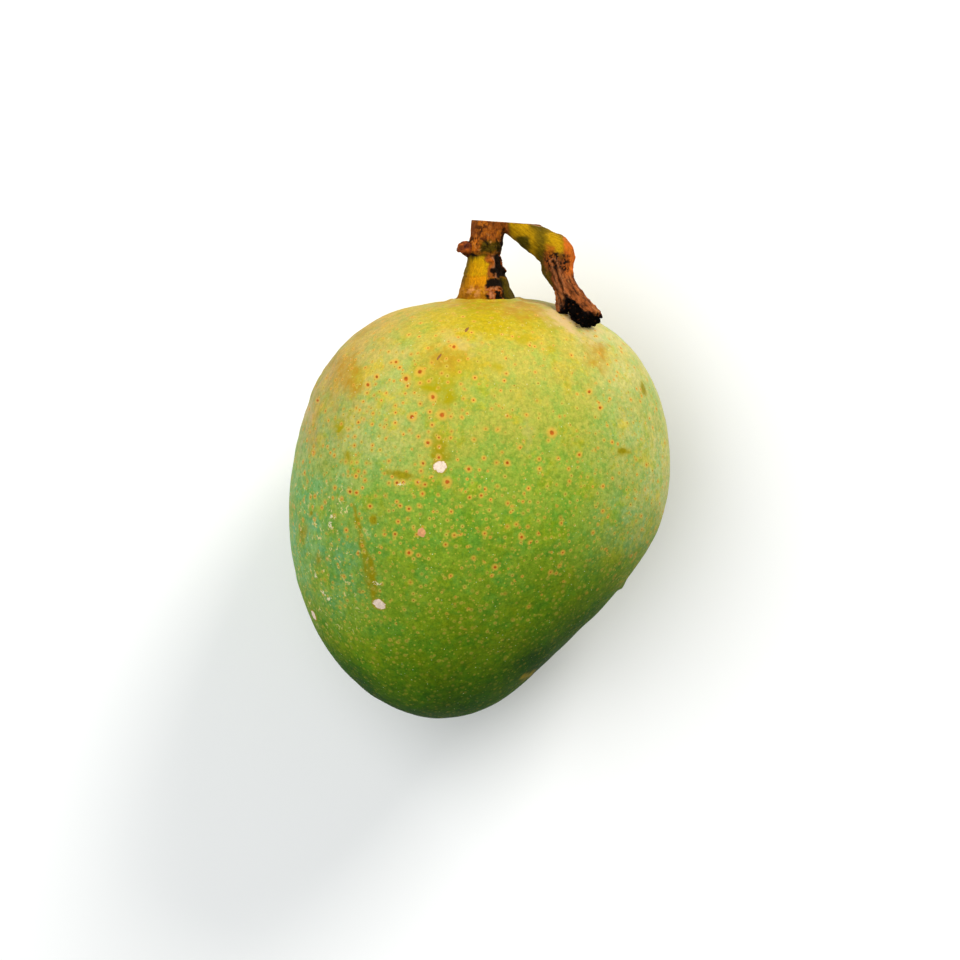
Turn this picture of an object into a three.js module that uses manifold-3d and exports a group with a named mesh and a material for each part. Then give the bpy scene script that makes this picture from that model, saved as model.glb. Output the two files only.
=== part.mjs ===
// A green mango as picked, lying on its back cheek, with a short piece of its woody stalk and the dead
// side twig that forks from it and bends down to the fruit's shoulder.
// Millimetres, +Z up. The pieces are drawn with the fruit upright: x across its broad face to the beak
// side, y from its front cheek to its back one, z from the tip to the stalk. At the end it is laid down,
// so that its stalk points to +Y and its front cheek up. The origin is then on the surface that it lies
// on, below the middle of the whole.
import * as THREE from "three";
import { mergeVertices } from "three/addons/utils/BufferGeometryUtils.js";
import Module from "manifold-3d";

const wasm = await Module();
wasm.setup();

// The fruit's front outline as [x, z]: the crown under the stalk, the left and right sides from the
// crown down, and the tip.
const CROWN = [1.5, 105.3];
const TIP = [-9.8, 0];
const LEFT_SIDE = [
  [-11.5, 104.3],
  [-23.2, 101.4],
  [-32.6, 95.2],
  [-39.9, 86.1],
  [-44.6, 74.5],
  [-47.1, 60],
  [-47.4, 46],
  [-44.6, 31],
  [-38.1, 17],
  [-28.3, 6.5],
  [-19.3, 1.9],
];
const RIGHT_SIDE = [
  [18.5, 104.3],
  [31.3, 98.5],
  [40, 90.3],
  [45.4, 78.5],
  [47.5, 65],
  [46.1, 52.5],
  [41.2, 41.2],
  [32, 29.2],
  [20.3, 17.7],
  [9.3, 7.3],
  [0.2, 1.9],
];
// Half the fruit's thickness, cheek to cheek, where each pair of side points is joined.
const HALF_DEPTH = [13, 23.5, 31, 36.1, 39.1, 40.3, 39.3, 35, 27.6, 18.8, 10.2];
const EGG = -0.12; // how much thinner the beak side is than the back
const CHEEK_OFFSET = -0.8; // the front cheek is this much fuller at mid-height
const REST_Y = 39.2; // the back cheek is flat here, where its weight presses it on the surface
const MIDDLE_Z = 62.38; // half-way between the tip and the cut end of the stalk

// The stalk stands in a shallow hollow in the crown.
const STALK_AXIS = [1.3, 0];
const HOLLOW_DEPTH = 0.6;
const HOLLOW_RADIUS = 7;

// The beak is a small point low on the right side, where the flower's style was.
const BEAK = [35.4, 0, 32.2];
const BEAK_HEIGHT = 0.8;
const BEAK_RADIUS = 2.4;

// Gentle swellings of the skin: height, then waves round the fruit and from crown to tip.
const SWELLINGS = [
  [0.35, 3, 2, 0.6],
  [0.25, 5, 3, 2.1],
  [0.18, 7, 5, 4.0],
];

// Round limbs, with their stations as [x, y, z, radius] from one end to the other.
const STALK = {
  sides: 32,
  steps: 34,
  stations: [
    [1.2, 0, 102.6, 8.6],
    [1.3, 0, 105, 7.5],
    [1.2, 0, 107.4, 6.4],
    [1.1, 0, 110.2, 5.55],
    [1.1, 0, 113.4, 4.6],
    [1.1, 0, 116.4, 4.15],
    [1.4, 0, 119.2, 4.1],
    [1.9, 0, 122.2, 4.3],
    [2.6, 0, 126.6, 4.6],
  ],
};
const TWIG = {
  sides: 28,
  steps: 44,
  stations: [
    [5, 0.2, 126.6, 4],
    [8.3, -0.1, 124.4, 3.6],
    [11.4, -0.6, 121.8, 3.5],
    [14.8, -1.6, 119.3, 3.7],
    [18.9, -3.2, 116.4, 4.4],
    [19.3, -5, 112.7, 3.8],
    [20.2, -7, 109.8, 3],
    [22.1, -9.5, 106.8, 2.7],
    [24.2, -11.9, 103.7, 2.9],
    [25.8, -13.7, 101.3, 3.4],
    [26.7, -14.7, 99.9, 3.6],
  ],
};
const SPLINTER = {
  sides: 12,
  steps: 10,
  stations: [
    [19.8, -7.8, 109.2, 1.6],
    [19.6, -9, 106.4, 1.1],
    [19.9, -10.2, 103.8, 1.1],
    [20.5, -11.2, 101.8, 1.6],
  ],
};
const KNOB = {
  sides: 14,
  steps: 6,
  stations: [
    [-1.6, -0.6, 116.9, 2],
    [-3.4, -0.9, 117.6, 1.9],
    [-4.6, -1.1, 117.8, 1.5],
    [-5.1, -1.1, 117.8, 0.9],
  ],
};
const SPUR = {
  sides: 10,
  steps: 4,
  stations: [
    [4.8, -0.6, 111.4, 1.5],
    [6.3, -0.8, 112.6, 0.7],
  ],
};
// The rotten hollow in the broken end: its middle, half its length, width and depth, and its direction.
const ROT = [23.6, -15, 101.4];
const ROT_HALF_SIZE = [6.4, 2.3, 2.2];
const ROT_DIRECTION = [6, -3, -6];
const CUT_HEIGHT = 124.6; // the picker's cut, straight through the top of the fork
const CUT_TILT_DEG = 4;
const FORK_X = 6.3; // the twig is told from the stalk on this plane
const FORK_Z = 118; // the fork lies above this height
const GAP = 0.3; // left between neighbouring pieces

const FRUIT_SIDES = 96;
const FRUIT_STEPS = 48;
const BARK_RIDGES = 7;
const BARK_RIDGE_SHARE = 0.035;
const BLOCK = 120; // edge of a cutting block, more than it has to cut away

// A closed, smooth run through values that are evenly spaced, as a cubic B-spline whose control values
// are pushed out so that it passes close to the values themselves.
function smoothLoop(values) {
  const count = values.length;
  const wrap = (i) => ((i % count) + count) % count;
  const control = values.map((v, i) => v - (values[wrap(i - 1)] - 2 * v + values[wrap(i + 1)]) / 6);
  return (t) => {
    const first = Math.floor(t);
    const f = t - first;
    const weights = [(1 - f) ** 3, 3 * f ** 3 - 6 * f ** 2 + 4, -3 * f ** 3 + 3 * f ** 2 + 3 * f + 1, f ** 3];
    return weights.reduce((sum, w, k) => sum + (w * control[wrap(first + k - 1)]) / 6, 0);
  };
}

const STATIONS = LEFT_SIDE.length + 1;
const OUTLINE = [CROWN, ...LEFT_SIDE, TIP, ...RIGHT_SIDE.toReversed()];
const outlineX = smoothLoop(OUTLINE.map((p) => p[0]));
const outlineZ = smoothLoop(OUTLINE.map((p) => p[1]));
const halfDepth = smoothLoop([0, ...HALF_DEPTH, 0, ...HALF_DEPTH.toReversed().map((d) => -d)]);

// A point of the skin. down runs from 0 at the crown to 1 at the tip, and angle runs round from +X
// towards +Y. Each section is an egg from the left outline to the right one.
function skinPoint(down, angle) {
  const t = down * STATIONS;
  const across = (1 + Math.cos(angle)) / 2;
  const x = THREE.MathUtils.lerp(outlineX(t), outlineX(-t), across);
  const z = THREE.MathUtils.lerp(outlineZ(t), outlineZ(-t), across);
  const y = halfDepth(t) * Math.sin(angle) * (1 + EGG * Math.cos(angle));
  return new THREE.Vector3(x, y + CHEEK_OFFSET * Math.sin(Math.PI * down) ** 2, z);
}

function outward(down, angle) {
  const step = 1e-3;
  const along = skinPoint(down + step, angle).sub(skinPoint(down - step, angle));
  const round = skinPoint(down, angle + step).sub(skinPoint(down, angle - step));
  return round.cross(along).negate().normalize();
}

// How far the finished skin stands off the plain form.
function relief(down, angle, point) {
  const fade = Math.sin(Math.PI * down) ** 2;
  const swell = SWELLINGS.reduce(
    (sum, [height, round, along, phase]) =>
      sum + height * Math.sin(round * angle + phase) * Math.cos(along * Math.PI * down + phase),
    0,
  );
  const toBeak = point.distanceTo(new THREE.Vector3(...BEAK));
  return fade * swell + BEAK_HEIGHT * Math.exp(-((toBeak / BEAK_RADIUS) ** 2));
}

// The fruit, or with grow above 0 the same form that much larger all round.
function fruitGeometry(grow = 0) {
  const geometry = new THREE.SphereGeometry(1, FRUIT_SIDES, FRUIT_STEPS).rotateX(Math.PI / 2);
  const position = geometry.getAttribute("position");
  const onBall = new THREE.Vector3();
  for (let i = 0; i < position.count; i++) {
    onBall.fromBufferAttribute(position, i);
    const down = Math.acos(THREE.MathUtils.clamp(onBall.z, -1, 1)) / Math.PI;
    const angle = Math.atan2(onBall.y, onBall.x);
    const atPole = Math.min(down, 1 - down) < 1e-6;
    const point = skinPoint(down, angle);
    const normal = atPole ? new THREE.Vector3(0, 0, Math.sign(onBall.z)) : outward(down, angle);
    point.addScaledVector(normal, grow + (atPole ? 0 : relief(down, angle, point)));
    const fromStalk = Math.hypot(point.x - STALK_AXIS[0], point.y - STALK_AXIS[1]);
    if (down < 0.5) point.z -= HOLLOW_DEPTH * Math.exp(-((fromStalk / HOLLOW_RADIUS) ** 2));
    position.setXYZ(i, point.x, point.y, point.z);
  }
  return geometry;
}

// A limb that follows its stations, with shallow ridges of bark along it.
function limbGeometry({ stations, sides, steps }) {
  const path = new THREE.CatmullRomCurve3(stations.map(([x, y, z]) => new THREE.Vector3(x, y, z)));
  const radius = new THREE.SplineCurve(stations.map((s, i) => new THREE.Vector2(i, s[3])));
  const frames = path.computeFrenetFrames(steps);
  const geometry = new THREE.CylinderGeometry(1, 1, 1, sides, steps);
  const position = geometry.getAttribute("position");
  for (let i = 0; i < position.count; i++) {
    const along = 0.5 - position.getY(i);
    const ring = Math.round(along * steps);
    const round = Math.atan2(position.getZ(i), position.getX(i));
    const reach = Math.hypot(position.getX(i), position.getZ(i));
    const ridge = Math.sin(BARK_RIDGES * round + 3 * along) * Math.cos(2 * round + 9 * along);
    const r = reach * (1 + BARK_RIDGE_SHARE * ridge) * radius.getPoint(path.getUtoTmapping(along)).y;
    const point = path
      .getPointAt(along)
      .addScaledVector(frames.normals[ring], r * Math.cos(round))
      .addScaledVector(frames.binormals[ring], r * Math.sin(round));
    position.setXYZ(i, point.x, point.y, point.z);
  }
  return geometry;
}

function solidOf(geometry) {
  const bare = geometry.clone();
  bare.deleteAttribute("normal");
  bare.deleteAttribute("uv");
  const merged = mergeVertices(bare, 1e-4);
  return new wasm.Manifold(
    new wasm.Mesh({
      numProp: 3,
      vertProperties: new Float32Array(merged.getAttribute("position").array),
      triVerts: new Uint32Array(merged.index.array),
    }),
  );
}

function geometryOf(solid) {
  const { vertProperties, triVerts } = solid.getMesh();
  const geometry = new THREE.BufferGeometry();
  geometry.setAttribute("position", new THREE.BufferAttribute(vertProperties, 3));
  geometry.setIndex(new THREE.BufferAttribute(triVerts, 1));
  const flat = geometry.toNonIndexed();
  flat.computeVertexNormals();
  return flat;
}

function limbSolid(limb) {
  return solidOf(limbGeometry(limb));
}

function blockGeometry(x, y, z) {
  return new THREE.BoxGeometry(BLOCK, BLOCK, BLOCK).translate(x, y, z);
}

function rotSolid() {
  const ball = new THREE.SphereGeometry(1, 20, 12).scale(...ROT_HALF_SIZE);
  const direction = new THREE.Vector3(...ROT_DIRECTION).normalize();
  const turn = new THREE.Quaternion().setFromUnitVectors(new THREE.Vector3(1, 0, 0), direction);
  return solidOf(ball.applyQuaternion(turn).translate(...ROT));
}

// What lies above the picker's cut.
function aboveCut() {
  const tilt = THREE.MathUtils.degToRad(CUT_TILT_DEG);
  return solidOf(blockGeometry(0, 0, BLOCK / 2).rotateY(tilt).translate(0, 0, CUT_HEIGHT));
}

// The space of the fork, from the stalk's far side up to the given x.
function forkUpTo(x) {
  return solidOf(blockGeometry(x - BLOCK / 2, 0, FORK_Z + BLOCK / 2));
}

// The stalk's foot follows the skin, its top is cut flat, and the twig is told from it at the fork.
function woodSolids() {
  const skin = solidOf(fruitGeometry(GAP));
  const above = aboveCut();
  const stalk = limbSolid(STALK).add(limbSolid(KNOB)).add(limbSolid(SPUR));
  const twig = limbSolid(TWIG).subtract(rotSolid()).add(limbSolid(SPLINTER));
  const trim = (solid) => solid.subtract(above).subtract(skin);
  return {
    stalk: trim(stalk.add(twig.intersect(forkUpTo(FORK_X)))),
    twig: trim(twig).subtract(forkUpTo(FORK_X + GAP)).subtract(stalk),
  };
}

// The back cheek has a small flat spot, which the fruit lies on.
function fruitSolid() {
  return solidOf(fruitGeometry()).subtract(solidOf(blockGeometry(0, REST_Y + BLOCK / 2, BLOCK / 2)));
}

function named(name, geometry, color, roughness) {
  const mesh = new THREE.Mesh(geometry, new THREE.MeshStandardMaterial({ color, roughness, metalness: 0 }));
  mesh.name = name;
  return mesh;
}

const wood = woodSolids();
const mango = new THREE.Group();
mango.add(
  named("fruit", geometryOf(fruitSolid()), 0x9fae45, 0.42),
  named("stalk", geometryOf(wood.stalk), 0xb98222, 0.7),
  named("side_twig", geometryOf(wood.twig), 0x8f4f27, 0.85),
);
mango.rotation.x = -Math.PI / 2;
mango.position.set(0, -MIDDLE_Z, REST_Y);
export default mango;
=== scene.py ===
"""The looks of a green mango as picked, lying on its back cheek, with its woody stalk and a dead side twig.

Sizes are millimetres with the fruit drawn upright, as in the part's source: x across its broad face to
the beak side, y from its front cheek to its back one, z from the tip to the stalk. laid() turns them
into metres of the frame, where the stalk points to +Y and the front cheek up.
"""
import math

import bmesh
import bpy
import numpy as np
from mathutils import Matrix, Vector, noise


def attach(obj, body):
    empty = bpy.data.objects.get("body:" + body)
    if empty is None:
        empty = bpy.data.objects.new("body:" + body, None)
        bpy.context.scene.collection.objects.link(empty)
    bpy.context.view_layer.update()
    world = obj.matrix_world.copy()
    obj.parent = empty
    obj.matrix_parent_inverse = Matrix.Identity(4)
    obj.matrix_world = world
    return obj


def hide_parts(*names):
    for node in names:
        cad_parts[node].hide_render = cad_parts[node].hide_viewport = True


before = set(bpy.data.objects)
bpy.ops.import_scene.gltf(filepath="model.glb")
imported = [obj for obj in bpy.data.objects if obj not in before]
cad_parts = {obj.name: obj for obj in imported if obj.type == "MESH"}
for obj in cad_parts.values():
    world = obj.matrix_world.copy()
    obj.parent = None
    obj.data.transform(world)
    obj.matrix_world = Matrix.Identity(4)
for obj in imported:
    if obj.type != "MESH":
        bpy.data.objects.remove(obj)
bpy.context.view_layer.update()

# The fruit as in the part's source. Its front outline is (x, z): crown, left and right sides from the crown
# down, tip. Its half depths go from the crown down too.
CROWN = (1.5, 105.3)
TIP = (-9.8, 0.0)
LEFT_SIDE = [
    (-11.5, 104.3), (-23.2, 101.4), (-32.6, 95.2), (-39.9, 86.1), (-44.6, 74.5), (-47.1, 60.0),
    (-47.4, 46.0), (-44.6, 31.0), (-38.1, 17.0), (-28.3, 6.5), (-19.3, 1.9),
]
RIGHT_SIDE = [
    (18.5, 104.3), (31.3, 98.5), (40.0, 90.3), (45.4, 78.5), (47.5, 65.0), (46.1, 52.5),
    (41.2, 41.2), (32.0, 29.2), (20.3, 17.7), (9.3, 7.3), (0.2, 1.9),
]
HALF_DEPTH = [13.0, 23.5, 31.0, 36.1, 39.1, 40.3, 39.3, 35.0, 27.6, 18.8, 10.2]
EGG = -0.12
CHEEK_OFFSET = -0.8
REST_Y = 39.2
MIDDLE_Z = 62.38
STALK_AXIS = (1.3, 0.0)
HOLLOW_DEPTH, HOLLOW_RADIUS = 0.6, 7.0
TIP_LIFT = 0.1
BEAK = (35.4, 0.0, 32.2)
BEAK_HEIGHT, BEAK_RADIUS = 0.8, 2.4
SWELLINGS = [(0.35, 3, 2, 0.6), (0.25, 5, 3, 2.1), (0.18, 7, 5, 4.0)]

# The limbs as in the part's source, as (x, y, z, radius).
STALK = [
    (1.2, 0, 102.6, 8.6), (1.3, 0, 105, 7.5), (1.2, 0, 107.4, 6.4), (1.1, 0, 110.2, 5.55),
    (1.1, 0, 113.4, 4.6), (1.1, 0, 116.4, 4.15), (1.4, 0, 119.2, 4.1), (1.9, 0, 122.2, 4.3),
    (2.6, 0, 126.6, 4.6),
]
TWIG = [
    (5, 0.2, 126.6, 4), (8.3, -0.1, 124.4, 3.6), (11.4, -0.6, 121.8, 3.5), (14.8, -1.6, 119.3, 3.7),
    (18.9, -3.2, 116.4, 4.4), (19.3, -5, 112.7, 3.8), (20.2, -7, 109.8, 3), (22.1, -9.5, 106.8, 2.7),
    (24.2, -11.9, 103.7, 2.9), (25.8, -13.7, 101.3, 3.4), (26.7, -14.7, 99.9, 3.6),
]
SPLINTER = [
    (19.8, -7.8, 109.2, 1.6), (19.6, -9, 106.4, 1.1), (19.9, -10.2, 103.8, 1.1), (20.5, -11.2, 101.8, 1.6),
]
KNOB = [(-1.6, -0.6, 116.9, 2), (-3.4, -0.9, 117.6, 1.9), (-4.6, -1.1, 117.8, 1.5), (-5.1, -1.1, 117.8, 0.9)]
SPUR = [(4.8, -0.6, 111.4, 1.5), (6.3, -0.8, 112.6, 0.7)]
ROT = (23.6, -15, 101.4)
ROT_HALF_SIZE = (6.4, 2.3, 2.2)
ROT_DIRECTION = (6, -3, -6)
CUT_HEIGHT = 124.6
CUT_TILT_DEG = 4.0
BLOCK = 80.0

# The edge of the twig's rotten end, as its x and its z seen from the front, and the long crack above it.
ROT_RIM = ([18.0, 20.4, 21.8, 26.0, 30.5], [100.8, 102.2, 105.0, 102.4, 101.4])
CRACK = [(18.2, 114.4), (18.9, 111.5), (19.9, 108.6), (20.9, 105.4)]
CRACK_DRIFT = 0.25

# The bark. The stalk's rings are (height of their place, depth). Fibres are drawn out along a limb, and
# LIMB_SPACING gives each limb fibres of its own.
STALK_RINGS = [(110.7, 0.16), (107.9, 0.08), (116.0, 0.22), (113.4, 0.05)]
HIGHEST_BARK, DEEPEST_BARK = 0.85, 0.9
FIBRE_STRETCH = 0.16
LIMB_SPACING = 40
YEAR_RINGS = 16

# The stalk and the twig part at a plane, which cuts only what is above FORK_Z.
FORK_X = 6.45
FORK_Z = 114.0

WOOD_VOXEL = 0.17
FRUIT_SIDES = 432
FRUIT_STEPS = 228

# The skin's low waves, as (height, size, seed). The skin is sunk a little, so that its relief stays inside
# the solid's box.
SKIN_WAVES = [(0.10, 9.0, 1), (0.06, 4.2, 2), (0.022, 1.7, 3)]
SKIN_SINK = 0.16
SCAR_HEIGHT = 0.16
RUGGED_HEIGHT = 0.28

# The rim and the folds round the stalk's foot, as (distance from its axis, width, height).
FOOT_RIM = (8.4, 1.1, 0.55)
FOOT_FOLDS = (11.5, 3.5, 0.16)
FOLDS_AROUND = 11

# Marks on the front cheek. Their places are those on an upright sheet through the stalk's axis, where the
# camera sees them. Stains are (x, z, half width, half height, turn in degrees, strength).
OLIVE_STAINS = [
    (-11, 83.6, 4.4, 2.0, 8, 0.9), (-8.5, 80.8, 2.6, 2.4, 0, 0.7), (-10, 67.6, 2.1, 3.6, 4, 1.0),
    (-20.4, 61.0, 3.2, 1.2, -6, 0.95), (-31.2, 86.4, 2.0, 3.4, 8, 0.6), (-35.0, 72.4, 1.5, 2.6, 0, 0.7),
    (-33.3, 66.0, 1.0, 1.2, 0, 0.6), (18, 98.2, 2.1, 1.0, -8, 0.7),
    (18.1, 93.0, 1.0, 0.8, 0, 0.5), (10.8, 95.0, 2.4, 1.2, 0, 0.5), (-2.5, 103.0, 3.2, 1.5, 0, 0.75),
    (4.4, 88.0, 1.9, 1.0, 0, 0.5), (35.6, 67.2, 1.6, 1.0, 0, 0.9), (41.0, 82.6, 0.7, 1.7, 12, 1.0),
    (-44.0, 46.8, 1.0, 2.2, 0, 0.7), (-40.6, 39.8, 0.9, 1.6, 0, 0.6), (-26.6, 49.8, 0.8, 1.1, 0, 0.9),
    (11.6, 10.4, 1.5, 1.1, 40, 0.6),
]
OLIVE_STREAK = [
    (-31.2, 52.2, 0.5, 2.2, 14, 0.6), (-30.5, 49.0, 0.6, 2.2, 14, 0.7), (-29.9, 46.0, 0.7, 2.2, 14, 0.8),
    (-29.2, 43.2, 0.9, 2.2, 14, 0.8), (-28.6, 40.4, 1.1, 2.2, 14, 0.8), (-28.0, 37.8, 1.3, 2.2, 14, 0.85),
    (-27.4, 35.2, 1.4, 2.2, 12, 0.85), (-26.7, 32.8, 1.3, 2.0, 10, 0.8), (-26.2, 31.0, 1.0, 1.4, 10, 0.7),
]
GOLD_STAINS = [
    (2.0, 99.6, 8.0, 4.0, -8, 0.95), (13.0, 101.0, 9.0, 3.0, -12, 0.8), (-8.0, 101.5, 5.0, 2.5, 10, 0.4),
    (-14.0, 86.0, 5.0, 4.5, 0, 0.45), (-6.0, 89.5, 7.0, 3.6, 0, 0.75),
]
BROWN_STAINS = [
    (10.5, 102.4, 6.0, 1.9, -4, 1.0), (1.0, 103.4, 3.6, 1.2, 0, 0.6), (-9.0, 90.5, 4.5, 2.6, 10, 0.5),
    (-32.4, 86.5, 2.4, 5.2, 12, 0.95), (-36.0, 88.5, 2.4, 3.4, 30, 0.45), (30.2, 92.2, 1.6, 1.4, 0, 0.6),
    (-29.0, 97.6, 4.5, 1.2, 32, 0.4), (-6.5, 104.2, 4.5, 0.9, 0, 0.7), (12.4, 10.8, 1.9, 1.3, 40, 0.28),
    (-36.5, 80.0, 1.4, 3.0, 10, 0.3), (28.8, 90.8, 3.8, 2.0, -50, 0.6), (-41.5, 70.0, 1.2, 3.0, 0, 0.3),
]
PINK_STAINS = [
    (21.5, 99.6, 6.5, 2.4, -24, 1.0), (28.5, 95.6, 3.2, 2.0, -30, 0.5), (-43.0, 77.8, 1.6, 2.8, 10, 0.5),
    (11.9, 71.8, 0.8, 4.6, 0, 0.2), (-20.0, 92.0, 2.0, 1.0, 20, 0.2),
    (-5.0, 94.6, 5.0, 1.8, -18, 0.35),
]
# Sharper marks, as (x, z, half width, half height, turn in degrees).
OLIVE_SPOTS = [
    (-26.7, 50.0, 0.9, 1.2, 0), (40.8, 82.7, 0.55, 1.6, 12), (-42.2, 51.6, 0.35, 0.6, 0),
    (-19.5, 61.3, 2.6, 0.7, -8), (35.6, 67.2, 1.0, 0.6, 0),
]
WHITE_SCARS = [(-10.0, 63.2, 1.5, 1.3, -20), (-25.3, 28.7, 1.5, 1.1, -30), (-41.7, 25.8, 0.5, 1.2, 25)]
FLAKES = [
    (-36.9, 50.6, 1.3, 0.8, 0), (-37.3, 48.6, 0.9, 1.3, 10), (-39.2, 31.6, 1.3, 0.8, -30),
    (-41.0, 36.0, 0.8, 1.3, -20), (-37.5, 30.0, 1.5, 0.7, 10), (-25.8, 34.0, 1.6, 0.7, 0),
    (-20.0, 58.9, 1.6, 0.6, 0),
]
PINK_SCABS = [(-14.6, 46.7, 1.0, 1.1, 0)]
DASHES = [(-3.4, 97.3, 1.15, 0.36, 56), (-10.2, 90.7, 1.0, 0.26, 54)]

# The plainest dots, as (x, z, radius).
RUST_SPOTS = [
    (-15.0, 87.0, 0.62), (-18.5, 85.2, 0.60), (-18.1, 83.4, 0.32), (-11.8, 80.7, 0.56), (-21.0, 89.4, 0.40),
    (-25.8, 85.7, 0.38), (-28.0, 83.7, 0.42), (-17.0, 75.7, 0.58), (-9.5, 76.2, 0.66), (-13.0, 69.2, 0.50),
    (-10.3, 65.5, 0.38), (-14.3, 64.0, 0.40), (-2.8, 62.6, 0.42), (-8.2, 59.4, 0.60), (-6.5, 93.2, 0.42),
    (18.0, 71.7, 0.62), (27.3, 82.0, 0.38), (30.0, 78.0, 0.36), (6.8, 64.2, 0.42), (24.8, 66.2, 0.36),
    (-41.5, 66.9, 0.35), (-32.5, 57.0, 0.36), (-30.9, 56.7, 0.34), (-10.3, 70.5, 0.30), (-40.5, 79.8, 0.35),
    (-20.8, 59.2, 0.40), (-19.2, 59.3, 0.32), (-15.6, 59.3, 0.42), (-13.8, 58.7, 0.36), (-14.4, 56.4, 0.38),
    (-20.0, 53.4, 0.30), (-17.8, 52.6, 0.36), (-27.5, 53.3, 0.34), (-17.8, 41.6, 0.44), (-21.3, 46.3, 0.32),
    (-8.6, 43.6, 0.34), (3.8, 38.0, 0.40), (10.4, 45.6, 0.40), (0.3, 56.0, 0.30), (-2.6, 55.5, 0.30),
]

# The skin's colours from the tip up to the crown, by height in millimetres: its own tones and painted shade,
# darker towards the tip.
SKIN_BY_HEIGHT = [
    (0.0, (0.020, 0.062, 0.001)), (9.0, (0.058, 0.122, 0.001)), (20.0, (0.140, 0.215, 0.003)),
    (32.0, (0.172, 0.258, 0.008)), (46.0, (0.202, 0.298, 0.020)), (60.0, (0.270, 0.328, 0.035)),
    (76.0, (0.375, 0.350, 0.048)), (92.0, (0.430, 0.350, 0.050)), (105.0, (0.440, 0.310, 0.015)),
]
OLIVE = (0.320, 0.265, 0.001)
DARK_OLIVE = (0.225, 0.190, 0.001)
BROWN = (0.370, 0.200, 0.012)
GOLD = (0.410, 0.290, 0.001)
PINK = (0.600, 0.400, 0.210)
TAN = (0.450, 0.290, 0.070)
# A painted sheen along the right rim, also laid as paler skin at the upper left.
PALE_SHEEN = (0.490, 0.445, 0.165)
# A painted cool sky reflection over the left flank.
COOL_SHEEN = (0.205, 0.365, 0.115)
GREENER = (0.700, 0.980, 1.000)
BLUER = (0.600, 0.920, 1.650)
YELLOWER = (1.160, 0.980, 0.350)
MOTTLE = (0.680, 0.820, 0.640)
RUST = (0.310, 0.075, 0.006)
ORANGE = (0.580, 0.320, 0.040)
BROWN_DOT = (0.230, 0.090, 0.006)
YELLOW_DOT = (0.420, 0.370, 0.040)
RING = (0.480, 0.370, 0.050)
CORK = (0.620, 0.500, 0.190)
FLECK = (0.700, 0.740, 0.420)
SCAR = (0.720, 0.570, 0.460)
SCAB = (0.620, 0.280, 0.130)
FLAKE = (0.640, 0.560, 0.330)
DASH = (0.200, 0.085, 0.030)

# The dots that a rule scatters, as (cell, core radius, halo radius, zone, core colour, halo colour, strength
# of the halo, shift of the pattern).
DOT_LAYERS = [
    (1.4, 0.15, 0.32, "small_dots", YELLOW_DOT, YELLOW_DOT, 0.7, 3.1),
    (2.0, 0.20, 0.66, "small_dots", BROWN_DOT, RING, 0.8, 7.7),
    (2.6, 0.27, 0.85, "big_dots", RUST, ORANGE, 0.9, 13.9),
]

# The sharper marks with their colour, their depth and the softness of their edge.
MARK_LAYERS = [
    (OLIVE_SPOTS, DARK_OLIVE, 3.0, 0.45), (DASHES, DASH, 1.0, 0.11), (PINK_SCABS, SCAB, 3.0, 0.11),
    (FLAKES, FLAKE, 3.0, 0.11), (WHITE_SCARS, SCAR, 4.0, 0.11),
]
RUST_SPOT_DEPTH = 1.5
SKIN_SPECULAR, SKIN_BUMP_MM = 0.05, 0.12
WOOD_SPECULAR, WOOD_BUMP_MM = 0.02, 0.16
STALK_ROUGHNESS, TWIG_ROUGHNESS = 0.45, 0.55

# Wood colours. Dark bark, olive, salmon and reddish bark are also laid as painted shade and painted
# highlight.
STALK_GREEN = (0.430, 0.240, 0.002)
STALK_AMBER = (0.480, 0.185, 0.002)
STALK_OLIVE = (0.045, 0.034, 0.001)
BARK_ORANGE = (0.390, 0.090, 0.007)
ELBOW_BARK = (0.520, 0.115, 0.010)
LIMB_BARK = (0.205, 0.055, 0.013)
REDDISH_BARK = (0.200, 0.050, 0.008)
SALMON_BARK = (0.480, 0.200, 0.055)
BARK_BROWN = (0.130, 0.034, 0.007)
BARK_PALE = (0.360, 0.140, 0.055)
BARK_DARK = (0.007, 0.004, 0.002)
ROTTEN = (0.003, 0.002, 0.002)
CUT_WOOD = (0.560, 0.420, 0.230)
CUT_PITH = (0.330, 0.200, 0.090)
TWIG_GREEN = (0.370, 0.200, 0.002)
TWIG_OLIVE = (0.060, 0.043, 0.001)

# The noise. Its primes scramble the places of a lattice into numbers that look random.
LATTICE_PRIMES = np.array([73856093, 19349663, 83492791])
SEED_PRIME, MIXING_PRIME = 9176131, 1274126177
SEED_SHIFT = 11.37
NOISE_CONTRAST = 1.6

# The camera looks down on the front cheek, and leans a little to the stalk's side.
CAMERA_DISTANCE = 900.0
CAMERA_LEAN_DEG = 4.0
FRAME_WIDTH = 240.0
SENSOR_MM = 36.0
AIM = (0.0, 0.0, 59.9)

# The studio, in metres and watts. The lights are (place, size, power, colour).
KEY_LIGHT = ((1.0, 1.55, 0.95), 0.8, 42, (1.0, 0.98, 0.94))
TOP_LIGHT = ((-0.8, 0.35, 1.6), 1.8, 33, (0.97, 0.99, 1.0))
LIT_POINT = (0, 0, 0.04)
SKY_COLOR, SKY_STRENGTH = (0.95, 0.98, 1.0, 1), 0.28
FLOOR_COLOR, FLOOR_ROUGHNESS = (0.86, 0.86, 0.85, 1), 0.9
FLOOR_RADIUS, FLOOR_SIDES = 6, 96


def laid(points):
    """Points drawn upright in millimetres, as metres of the frame."""
    points = np.asarray(points, float)
    x, y, z = points[..., 0], points[..., 1], points[..., 2]
    return np.stack([x, z - MIDDLE_Z, REST_Y - y], -1) / 1000


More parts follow.
